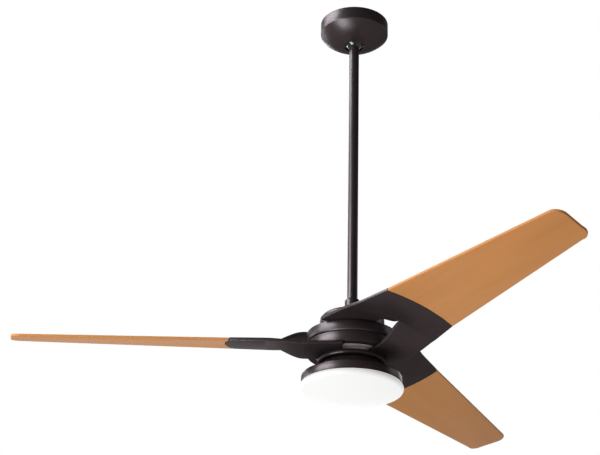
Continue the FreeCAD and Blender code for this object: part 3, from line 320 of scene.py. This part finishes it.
def bronze_with_groove_light():
    """Bronze paint that gives way to painted light in the groove between the drum and the flange, where shade
    falls.
    """
    def build(finish):
        spot = finish.place((0, 0, BLADE_LEVEL))
        coat = bronze_coat(finish, spot)
        axes = {axis: finish.field("ShaderNodeSeparateXYZ", axis, None, {0: spot}) for axis in "XYZ"}
        low, high, reach = GROOVE
        inside = axes["X"] * axes["X"] + axes["Y"] * axes["Y"] < reach * reach
        # painted light: in the groove the bronze gives way to a pale, less glossy colour that stands in for
        # light in its shade
        groove_lit = inside * (axes["Z"] > low) * (axes["Z"] < high)
        coat["Base Color"] = finish.between(groove_lit, coat["Base Color"], palette().groove_painted_light)
        coat["Metallic"] = BRONZE_METALLIC - groove_lit * GROOVE_LIGHT_METALLIC_DROP
        coat["Roughness"] = coat["Roughness"] + groove_lit * GROOVE_LIGHT_ROUGHNESS_RISE
        return finish.close(coat)
    return made_once("bronze_over_bare_casting", build)


def board_wood(number):
    """Wood whose grain runs along one blade, from its root to its tip."""
    def build(finish):
        spot = finish.place((0, 0, BLADE_LEVEL), (-BLADE_PITCH, 0, FIRST_BLADE + BLADE_STEP * number))
        figure = finish.noise(finish.stretch(spot, FIGURE_STRETCH), 1.0, detail=3.0)
        streak = finish.noise(finish.stretch(spot, STREAK_STRETCH), 1.0, detail=2.0)
        pore = finish.ramp(finish.noise(finish.stretch(spot, PORE_STRETCH), 1.0, detail=1.0), 0.62, 0.8)
        share = finish.ramp(figure, 0.3, 0.75) * 0.4 + streak * 0.35 + pore * 0.2
        shade = finish.between(share, palette().wood, palette().wood_grain)
        # painted shade: each board's colour is scaled by its own share
        shade = finish.stretch(shade, BOARD_PAINTED_SHADE[number])
        return finish.close({
            "Base Color": shade, "Roughness": streak * 0.1 + 0.48, "Specular IOR Level": 0.25,
            "Normal": finish.bump(streak - pore, 0.00003, 0.4)})
    return made_once("board_wood_%d" % (number + 1), build)


def opal_glass():
    """White glass that glows softly."""
    def build(finish):
        mottle = finish.noise(finish.place(), 60.0)
        return finish.close({
            "Base Color": palette().opal, "Roughness": mottle * 0.06 + 0.2, "Specular IOR Level": 0.15,
            "Coat Weight": 0.06, "Coat Roughness": 0.06, "Emission Color": palette().opal,
            "Emission Strength": 0.44})
    return made_once("opal_white_glass", build)


def gloss_black():
    """Glossy black of the hanger ball."""
    def build(finish):
        haze = finish.noise(finish.place(), 120.0)
        return finish.close({"Base Color": palette().ball, "Roughness": haze * 0.06 + 0.12,
                             "Specular IOR Level": 0.35})
    return made_once("hanger_ball_black", build)


def nylon():
    """Natural nylon of the socket's liner."""
    def build(finish):
        cloud = finish.noise(finish.place(), 80.0)
        return finish.close({"Base Color": palette().liner, "Roughness": cloud * 0.1 + 0.45})
    return made_once("liner_nylon", build)


def plated_steel():
    """Zinc-plated steel with a fine spangle."""
    def build(finish):
        spangle = finish.field("ShaderNodeTexVoronoi", "Distance", {"feature": "F1"},
                               {"Vector": finish.place(), "Scale": 160.0})
        return finish.close({
            "Base Color": palette().zinc, "Metallic": 1.0, "Roughness": spangle * 0.25 + 0.28,
            "Specular Tint": (0.6, 0.6, 0.6, 1.0), "Normal": finish.bump(spangle, 0.00003, 0.3)})
    return made_once("zinc_plated_steel", build)


def dark_steel():
    """Blackened steel of the screws."""
    def build(finish):
        grit = finish.noise(finish.place(), 900.0)
        return finish.close({"Base Color": palette().screw, "Metallic": 0.9, "Roughness": grit * 0.15 + 0.25})
    return made_once("blackened_screw_steel", build)


def copper_wire():
    """Lacquered copper, wound strand beside strand."""
    def build(finish):
        spot = finish.place()
        strand = finish.field("ShaderNodeTexWave", "Fac", {"wave_type": "RINGS", "rings_direction": "Z"},
                              {"Vector": spot, "Scale": 180.0, "Distortion": 0.4})
        return finish.close({
            "Base Color": palette().copper, "Metallic": 0.8, "Roughness": strand * 0.2 + 0.25,
            "Normal": finish.bump(strand, 0.0003)})
    return made_once("lacquered_copper_wire", build)


def moulded(name, shade, rough):
    """A moulded or coated surface with a fine grain."""
    def build(finish):
        grain = finish.noise(finish.place(), 1200.0)
        return finish.close({
            "Base Color": shade, "Roughness": grain * 0.1 + rough,
            "Normal": finish.bump(grain, 0.00002, 0.3)})
    return made_once(name, build)


def dress(material, *names):
    """Give CAD nodes that stay in view a better material."""
    for name in names:
        slots = NODES[name].material_slots
        if not slots:
            NODES[name].data.materials.append(material)
        for slot in slots:
            slot.material = material


def only(piece):
    """Select one piece and make it the active one."""
    bpy.ops.object.select_all(action="DESELECT")
    piece.select_set(True)
    bpy.context.view_layer.objects.active = piece


def apply_all(piece):
    only(piece)
    for modifier in list(piece.modifiers):
        bpy.ops.object.modifier_apply(modifier=modifier.name)


def settle(piece, node, body, material):
    """Hand a finished piece to the frame in place of a CAD node."""
    piece.data.materials.clear()
    piece.data.materials.append(material)
    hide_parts(node)
    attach(piece, body)


def merged_copy(node, name):
    """A copy of a CAD node with its triangles merged into whole faces."""
    piece = bpy.data.objects.new(name, NODES[node].data.copy())
    bpy.context.scene.collection.objects.link(piece)
    only(piece)
    bpy.ops.mesh.customdata_custom_splitnormals_clear()
    bpy.ops.object.mode_set(mode="EDIT")
    bpy.ops.mesh.select_all(action="SELECT")
    bpy.ops.mesh.remove_doubles(threshold=WELD)
    bpy.ops.mesh.dissolve_limited(angle_limit=FLAT_ANGLE)
    bpy.ops.object.mode_set(mode="OBJECT")
    return piece


def ease(piece, edge):
    """Round the sharp edges of a piece."""
    bevel = piece.modifiers.new("ease", "BEVEL")
    bevel.width = edge
    bevel.segments = EDGE_STEPS
    bevel.limit_method = "ANGLE"
    bevel.angle_limit = SHARP_ANGLE
    bevel.use_clamp_overlap = False
    apply_all(piece)
    bpy.ops.object.shade_smooth_by_angle(angle=SMOOTH_ANGLE)
    return piece


def eased_copy(node, name, edge):
    return ease(merged_copy(node, name), edge)


def pick_ring(piece, radius, height):
    """In edit mode, select only the edges that run round at one radius and one height."""
    bpy.ops.mesh.select_mode(type="EDGE")
    bpy.ops.mesh.select_all(action="DESELECT")
    bpy.ops.object.mode_set(mode="OBJECT")
    on_ring = [abs(corner.co.z - height) < RING_SLACK and abs(corner.co.xy.length - radius) < RING_SLACK
               for corner in piece.data.vertices]
    for edge in piece.data.edges:
        edge.select = on_ring[edge.vertices[0]] and on_ring[edge.vertices[1]]
    bpy.ops.object.mode_set(mode="EDIT")


def ease_ring(piece, radius, height, width):
    """Bevel the ring of edges that runs at one radius and one height."""
    only(piece)
    bpy.ops.object.mode_set(mode="EDIT")
    pick_ring(piece, radius, height)
    bpy.ops.mesh.bevel(offset=width, segments=EDGE_STEPS, affect="EDGES")
    bpy.ops.object.mode_set(mode="OBJECT")


def pick(piece, test):
    """In edit mode, select only the faces whose middle and normal pass a test."""
    bpy.ops.mesh.select_mode(type="FACE")
    bpy.ops.mesh.select_all(action="DESELECT")
    bpy.ops.object.mode_set(mode="OBJECT")
    for face in piece.data.polygons:
        face.select = test(face.center, face.normal)
    bpy.ops.object.mode_set(mode="EDIT")


def stepped_pan(node, name):
    """A pan that keeps a CAD node's deck and posts, and is turned anew from the deck's edge to its rim."""
    pan = merged_copy(node, name)
    radius, height = PAN_DECK_RADIUS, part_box(node)[1][2]
    bpy.ops.object.mode_set(mode="EDIT")
    pick(pan, lambda middle, normal: middle.xy.length > PAN_DECK_RADIUS)
    bpy.ops.mesh.delete(type="FACE")
    pick_ring(pan, radius, height)
    for wider, lower in PAN_TURN:
        drop = BLADE_LEVEL + lower - height
        bpy.ops.mesh.extrude_region_move(TRANSFORM_OT_translate={"value": (0, 0, drop)})
        growth = wider / radius
        bpy.ops.transform.resize(value=(growth, growth, 1.0), center_override=(0, 0, height))
        radius, height = wider, BLADE_LEVEL + lower
    bpy.ops.mesh.select_all(action="SELECT")
    bpy.ops.mesh.remove_doubles(threshold=PAN_WELD)
    bpy.ops.mesh.normals_make_consistent(inside=False)
    bpy.ops.object.mode_set(mode="OBJECT")
    return pan


def recess_bar(span, width, depth):
    """One bar of a cross recess, narrower at its bottom; half of it stands above the head's top."""
    bpy.ops.object.select_all(action="DESELECT")
    bpy.ops.mesh.primitive_cube_add(size=1.0)
    bar = bpy.context.object
    bpy.ops.object.mode_set(mode="EDIT")
    bpy.ops.mesh.select_all(action="SELECT")
    bpy.ops.transform.resize(value=(span, width, depth * 2))
    pick(bar, lambda middle, normal: normal.z < -FACING)
    bpy.ops.transform.resize(value=(*RECESS_TAPER, 1.0))
    bpy.ops.object.mode_set(mode="OBJECT")
    return bar


class PlainScrew:
    """A plain screw's place and sizes, read from its own mesh."""

    def __init__(self, mesh):
        corners = [corner.co for corner in mesh.vertices]
        middle = sum(corners, Vector()) / len(corners)
        up = max(mesh.polygons, key=lambda face: face.area).normal.copy()
        heights, rims = self.measure(corners, middle, up)
        girth = max(rims)
        brim = [height for height, rim in zip(heights, rims) if rim > girth * BRIM_SHARE]
        if max(heights) - max(brim) > min(brim) - min(heights):
            up = -up
            heights, rims = self.measure(corners, middle, up)
            brim = [height for height, rim in zip(heights, rims) if rim > girth * BRIM_SHARE]
        top = max(heights)
        foot = min(heights)
        self.up = up
        self.top = middle + up * top
        self.reach = top - foot
        self.head = top - min(brim)
        self.head_radius = girth
        shank_end = foot + self.head * SHANK_SHARE
        self.shank_radius = max(rim for height, rim in zip(heights, rims) if height < shank_end)

    def measure(self, corners, middle, up):
        heights = [(corner - middle).dot(up) for corner in corners]
        rims = [(corner - middle - up * height).length for corner, height in zip(corners, heights)]
        return heights, rims


def cross_screw(plain):
    """One screw with its top at the origin: a crowned head with a cross recess, and a plain shank."""
    sizes = bpy.context.scene.fan_sizes
    bpy.ops.object.select_all(action="DESELECT")
    bpy.ops.mesh.primitive_cylinder_add(vertices=SCREW_SIDES, radius=plain.head_radius, depth=plain.head,
                                        location=(0, 0, -plain.head / 2))
    screw = bpy.context.object
    bpy.ops.object.transform_apply(location=True, rotation=True, scale=True)
    bpy.ops.object.mode_set(mode="EDIT")
    pick(screw, lambda middle, normal: normal.z < -FACING)
    bpy.ops.mesh.inset(thickness=plain.head_radius - plain.shank_radius)
    bpy.ops.mesh.extrude_region_move(TRANSFORM_OT_translate={"value": (0, 0, plain.head - plain.reach)})
    pick(screw, lambda middle, normal: normal.z > FACING)
    bpy.ops.mesh.bevel(offset=sizes.head_round, segments=CROWN_STEPS, affect="EDGES")
    bpy.ops.object.mode_set(mode="OBJECT")
    for turn in (0.0, math.pi / 2):
        bar = recess_bar(sizes.recess_span, sizes.recess_width, sizes.recess_depth)
        bar.data.transform(Matrix.Rotation(turn, 4, "Z"))
        cut = screw.modifiers.new("recess", "BOOLEAN")
        cut.operation = "DIFFERENCE"
        cut.object = bar
        apply_all(screw)
        bpy.data.objects.remove(bar)
    only(screw)
    bpy.ops.object.shade_smooth_by_angle(angle=SMOOTH_ANGLE)
    return screw


def screw_group(node, name, body):
    """Cross-recessed screws in place of a CAD node's plain ones, each turned home a little differently."""
    merged_copy(node, name)
    bpy.ops.object.mode_set(mode="EDIT")
    bpy.ops.mesh.select_all(action="SELECT")
    bpy.ops.mesh.separate(type="LOOSE")
    bpy.ops.object.mode_set(mode="OBJECT")
    places = []
    for single in list(bpy.context.selected_objects):
        places.append(PlainScrew(single.data))
        bpy.data.objects.remove(single)
    pattern = cross_screw(places[0])
    copies = []
    for number, plain in enumerate(places):
        copy = bpy.data.objects.new(name, pattern.data.copy())
        bpy.context.scene.collection.objects.link(copy)
        stand = Matrix.Translation(plain.top) @ plain.up.to_track_quat("Z", "Y").to_matrix().to_4x4()
        copy.data.transform(stand @ Matrix.Rotation(number * SCREW_TURN, 4, "Z"))
        copies.append(copy)
    bpy.data.objects.remove(pattern)
    bpy.ops.object.select_all(action="DESELECT")
    for copy in copies:
        copy.select_set(True)
    bpy.context.view_layer.objects.active = copies[0]
    bpy.ops.object.join()
    copies[0].name = name
    settle(copies[0], node, body, dark_steel())


class FAN_OT_ceiling_mount(bpy.types.Operator):
    """Dress the bracket, its screws and the canopy"""
    bl_idname = "fan.ceiling_mount"
    bl_label = "Ceiling mount"

    def execute(self, context):
        edge = context.scene.fan_sizes.metal_edge
        shell = eased_copy("canopy", "canopy_shell", edge)
        settle(shell, "canopy", "ceiling_mount", bronze_paint())
        dress(plated_steel(), "ceiling_bracket")
        screw_group("canopy_screws", "canopy_cross_screws", "ceiling_mount")
        return {"FINISHED"}


class FAN_OT_hanger(bpy.types.Operator):
    """Dress the ball joint, the rod and its collar"""
    bl_idname = "fan.hanger"
    bl_label = "Hanger"

    def execute(self, context):
        dress(nylon(), "socket_liner")
        dress(gloss_black(), "hanger_ball")
        dress(plated_steel(), "ball_cross_pin", "yoke_pin", "motor_yoke")
        dress(dark_steel(), "yoke_set_screws")
        dress(bronze_paint(), "downrod", "rod_collar")
        dress(moulded("lead_sheath_black", palette().sheath, 0.4), "supply_leads")
        return {"FINISHED"}


class FAN_OT_motor(bpy.types.Operator):
    """Dress the motor inside the drum"""
    bl_idname = "fan.motor"
    bl_label = "Motor"

    def execute(self, context):
        dress(plated_steel(), "motor_shaft", "stator_core", "rotor_ring", "upper_bearing", "lower_bearing")
        dress(copper_wire(), "stator_windings")
        dress(dark_steel(), "drum_bolts", "lower_hub_screws")
        return {"FINISHED"}


class FAN_OT_housing(bpy.types.Operator):
    """Round the edges of the upper housing, the drum and the lower hub"""
    bl_idname = "fan.housing"
    bl_label = "Housing and drum"

    def execute(self, context):
        sizes = context.scene.fan_sizes
        cup = eased_copy("upper_housing", "upper_housing_cup", sizes.metal_edge)
        settle(cup, "upper_housing", "hanging_core", bronze_paint())
        hub = eased_copy("lower_hub", "lower_hub_flange", sizes.metal_edge)
        settle(hub, "lower_hub", "rotor", bronze_with_groove_light())
        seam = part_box("drum_upper")[0][2]
        shells = (("drum_upper", "drum_upper_shell", bronze_paint(), sizes.drum_edge),
                  ("drum_lower", "drum_lower_shell", bronze_with_groove_light(), sizes.seam_edge))
        for node, name, finish, edge in shells:
            shell = merged_copy(node, name)
            ease_ring(shell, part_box(node)[1][0], seam, edge)
            settle(ease(shell, sizes.metal_edge), node, "rotor", finish)
        screw_group("upper_housing_screws", "upper_housing_cross_screws", "hanging_core")
        return {"FINISHED"}


class FAN_OT_blade_arms(bpy.types.Operator):
    """Round the edges of the three forked arms"""
    bl_idname = "fan.blade_arms"
    bl_label = "Blade arms"

    def execute(self, context):
        for node in ARM_NAMES:
            arm = eased_copy(node, node + "_forging", context.scene.fan_sizes.arm_edge)
            settle(arm, node, "rotor", bronze_paint())
        screw_group("arm_screws_upper", "arm_upper_cross_screws", "rotor")
        screw_group("arm_screws_lower", "arm_lower_cross_screws", "rotor")
        return {"FINISHED"}


class FAN_OT_blades(bpy.types.Operator):
    """Round the edges of the three boards and grain each along its length"""
    bl_idname = "fan.blades"
    bl_label = "Blades"

    def execute(self, context):
        for number, node in enumerate(BLADE_NAMES):
            board = eased_copy(node, node + "_board", context.scene.fan_sizes.board_edge)
            settle(board, node, "rotor", board_wood(number))
        screw_group("blade_screws", "blade_cross_screws", "rotor")
        return {"FINISHED"}


class FAN_OT_light(bpy.types.Operator):
    """Dress the light's pan, its board and driver, and the glass dish"""
    bl_idname = "fan.light"
    bl_label = "Light"

    def execute(self, context):
        edge = context.scene.fan_sizes.metal_edge
        pan = ease(stepped_pan("light_pan", "light_pan_shell"), edge)
        settle(pan, "light_pan", "hanging_core", bronze_paint())
        dress(plated_steel(), "pan_nut")
        dress(moulded("light_board_white", palette().board, 0.35), "led_board")
        dress(moulded("driver_case_white", palette().driver, 0.5), "led_driver")
        dress(dark_steel(), "led_screws")
        dress(opal_glass(), "opal_glass")
        return {"FINISHED"}


class FAN_OT_stage(bpy.types.Operator):
    """Set the floor, the soft light and the camera"""
    bl_idname = "fan.stage"
    bl_label = "Stage"

    # camera, counted from the rotor's middle: how far it stands off, how far below, and how it turns
    stand_off = 2.6832
    below = 1.0419
    side_turn = math.radians(2.002)
    heading = math.radians(-2.240)
    pitch = math.radians(27.815)
    roll = math.radians(2.426)
    sensor = 36.0
    lens = 89.891
    shift = (0.075, -0.0925)
    # the floor: how far it lies below the ceiling, half its side, its colour, and the share of it
    # that the camera sees free of shade
    floor_drop = 2.7
    floor_half = 14.0
    floor_tone = tone(243, 243, 243)
    floor_glow = 0.5
    # soft light: the room's share, and panels by turn and rise in degrees, distance, width, height and watts
    room_light = 0.72
    panels = (("soft_left", 212, 14, 2.5, 1.6, 0.9, 20),
              ("fill_below", 222, -56, 1.7, 1.0, 1.0, 10.5))
    # a panel for the boards alone, which picks out their edges
    edge_light = ("edge_light", 207, 24, 2.5, 1.6, 0.9, 30)
    # bright cool cards that only the gloss of the metal shows, given in the same way
    cards = (("card_left", 202, 22, 2.5, 1.9, 0.75, 140),
             ("card_side", 145, 9, 2.5, 2.2, 0.6, 95),
             ("card_back", 118, 34, 2.5, 1.3, 0.9, 90),
             ("card_high", 176, 51, 2.5, 1.8, 0.9, 200),
             ("card_right", 20, 22, 2.5, 1.4, 0.8, 16),
             ("card_low", 214, -34, 1.7, 0.9, 1.5, 95))
    card_tint = (0.77, 0.95, 1.0)
    # two more for the light's pan alone, which pick out the ends of its wall
    pan_cards = (("card_pan_left", 148, 23, 2.5, 1.5, 0.6, 28),
                 ("card_pan_right", 58, 22, 2.5, 1.0, 0.6, 33))
    pan_tint = (0.95, 0.96, 0.96)
    # the room is darker behind the camera, to its right: the way there, how squarely a ray looks that way
    # where the fall begins and ends, and the share of light that is left
    dim_side = (0.66, -0.62, 0.42)
    dim_start = 0.1
    dim_end = 0.75
    dim_share = 0.1

    def execute(self, context):
        self.floor()
        self.world(context.scene)
        self.lamps()
        self.camera(context.scene)
        context.scene.view_settings.view_transform = "Standard"
        return {"FINISHED"}

    def floor(self):
        bpy.ops.object.select_all(action="DESELECT")
        bpy.ops.mesh.primitive_plane_add(size=self.floor_half * 2, location=(0, 0, -self.floor_drop))
        floor = bpy.context.object
        floor.name = "floor"
        finish = Finish("pale_floor")
        matt = finish.field("ShaderNodeBsdfDiffuse", "BSDF", None, {"Color": self.floor_tone})
        pale = finish.field("ShaderNodeEmission", "Emission", None, {"Color": self.floor_tone})
        seen, mirrored = self.rays(finish)
        glow = mirrored + seen * self.floor_glow
        top = finish.field("ShaderNodeMixShader", "Shader", None, {0: glow, 1: matt, 2: pale})
        # from below, the floor is clear
        clear = finish.field("ShaderNodeBsdfTransparent", "BSDF")
        back = finish.field("ShaderNodeNewGeometry", "Backfacing")
        mixed = finish.field("ShaderNodeMixShader", "Shader", None, {0: back, 1: top, 2: clear})
        finish.node("ShaderNodeOutputMaterial", None, {"Surface": mixed})
        floor.data.materials.append(finish.owner)

    def world(self, scene):
        scene.world = bpy.data.worlds.new("white_room")
        room = Wiring(scene.world)
        seen, mirrored = self.rays(room)
        way = room.field("ShaderNodeTexCoord", "Generated")
        dim = room.field("ShaderNodeVectorMath", "Value", {"operation": "DOT_PRODUCT"},
                         {0: way, 1: self.dim_side})
        share = room.field("ShaderNodeMapRange", "Result", {"clamp": True},
                           {"Value": dim, "From Min": self.dim_start, "From Max": self.dim_end,
                            "To Min": 1.0, "To Max": self.dim_share})
        strength = seen + mirrored * share + (1.0 - (seen | mirrored)) * share * self.room_light
        glow = room.field("ShaderNodeBackground", "Background", None,
                          {"Color": (1, 1, 1, 1), "Strength": strength})
        room.node("ShaderNodeOutputWorld", None, {"Surface": glow})

    def rays(self, wiring):
        """Whether a ray comes straight from the camera or through glass, and whether a gloss mirrors it."""
        camera = wiring.field("ShaderNodeLightPath", "Is Camera Ray")
        seen = camera | wiring.field("ShaderNodeLightPath", "Is Transmission Ray")
        mirrored = wiring.field("ShaderNodeLightPath", "Is Glossy Ray") * (1.0 - seen)
        return seen, mirrored

    def lamp(self, name, turn, rise, reach, wide, tall, power):
        """A soft panel that looks at the rotor's middle from a direction given by two angles in degrees."""
        turn = math.radians(turn)
        rise = math.radians(rise)
        data = bpy.data.lights.new(name, "AREA")
        data.shape = "RECTANGLE"
        data.size = wide
        data.size_y = tall
        data.energy = power
        lamp = bpy.data.objects.new(name, data)
        bpy.context.scene.collection.objects.link(lamp)
        hub = Vector((0, 0, BLADE_LEVEL))
        away = Vector((math.cos(rise) * math.cos(turn), math.cos(rise) * math.sin(turn), math.sin(rise)))
        lamp.location = hub + away * reach
        lamp.rotation_euler = (-away).to_track_quat("-Z", "Y").to_euler()
        lamp.visible_camera = False
        return lamp

    def lamps(self):
        for panel in self.panels:
            self.lamp(*panel)
        woods = [board_wood(number) for number in range(len(BLADE_NAMES))]
        boards = self.receivers("boards", self.finished_in(woods))
        self.lamp(*self.edge_light).light_linking.receiver_collection = boards
        finishes = (bronze_paint(), bronze_with_groove_light(), gloss_black())
        metal = self.receivers("glossy_metal", self.finished_in(finishes))
        pan = self.receivers("pan", [bpy.data.objects["light_pan_shell"]])
        for cards, tint, lit in ((self.cards, self.card_tint, metal), (self.pan_cards, self.pan_tint, pan)):
            for card in cards:
                lamp = self.lamp(*card)
                lamp.data.color = tint
                lamp.visible_diffuse = False
                lamp.light_linking.receiver_collection = lit

    def finished_in(self, finishes):
        """The pieces that have one of the finishes."""
        return [item for item in bpy.context.scene.objects if item.active_material in finishes]

    def receivers(self, name, pieces):
        """Some pieces as the group that a lamp lights."""
        group = bpy.data.collections.new(name)
        for piece in pieces:
            group.objects.link(piece)
        return group

    def camera(self, scene):
        data = bpy.data.cameras.new("camera")
        data.sensor_fit = "HORIZONTAL"
        data.sensor_width = self.sensor
        data.lens = self.lens
        data.shift_x, data.shift_y = self.shift
        camera = bpy.data.objects.new("camera", data)
        scene.collection.objects.link(camera)
        ahead = Vector((math.sin(self.side_turn), math.cos(self.side_turn), 0.0))
        spot = Vector((0, 0, BLADE_LEVEL - self.below)) - ahead * self.stand_off
        turn = (Matrix.Rotation(-self.heading, 4, "Z") @ Matrix.Rotation(math.pi / 2 + self.pitch, 4, "X")
                @ Matrix.Rotation(self.roll, 4, "Z"))
        camera.matrix_world = Matrix.Translation(spot) @ turn
        scene.camera = camera


STEPS = (FAN_OT_ceiling_mount, FAN_OT_hanger, FAN_OT_motor, FAN_OT_housing, FAN_OT_blade_arms,
         FAN_OT_blades, FAN_OT_light, FAN_OT_stage)


class FAN_PT_steps(bpy.types.Panel):
    """The fan's pieces, in the order in which they are made"""
    bl_idname = "FAN_PT_steps"
    bl_label = "Ceiling fan"
    bl_space_type = "VIEW_3D"
    bl_region_type = "UI"
    bl_category = "Fan"

    def draw(self, context):
        for group in (context.scene.fan_sizes, context.scene.fan_colours):
            box = self.layout.box()
            for name in group.__annotations__:
                box.prop(group, name)
        for step in STEPS:
            self.layout.operator(step.bl_idname)


CLASSES = (FanSizes, FanColours) + STEPS + (FAN_PT_steps,)


def register():
    for item in CLASSES:
        bpy.utils.register_class(item)
    bpy.types.Scene.fan_sizes = bpy.props.PointerProperty(type=FanSizes)
    bpy.types.Scene.fan_colours = bpy.props.PointerProperty(type=FanColours)


def unregister():
    del bpy.types.Scene.fan_colours
    del bpy.types.Scene.fan_sizes
    for item in reversed(CLASSES):
        bpy.utils.unregister_class(item)


def main():
    register()
    bpy.ops.fan.ceiling_mount()
    bpy.ops.fan.hanger()
    bpy.ops.fan.motor()
    bpy.ops.fan.housing()
    bpy.ops.fan.blade_arms()
    bpy.ops.fan.blades()
    bpy.ops.fan.light()
    bpy.ops.fan.stage()


if __name__ == "__main__":
    main()
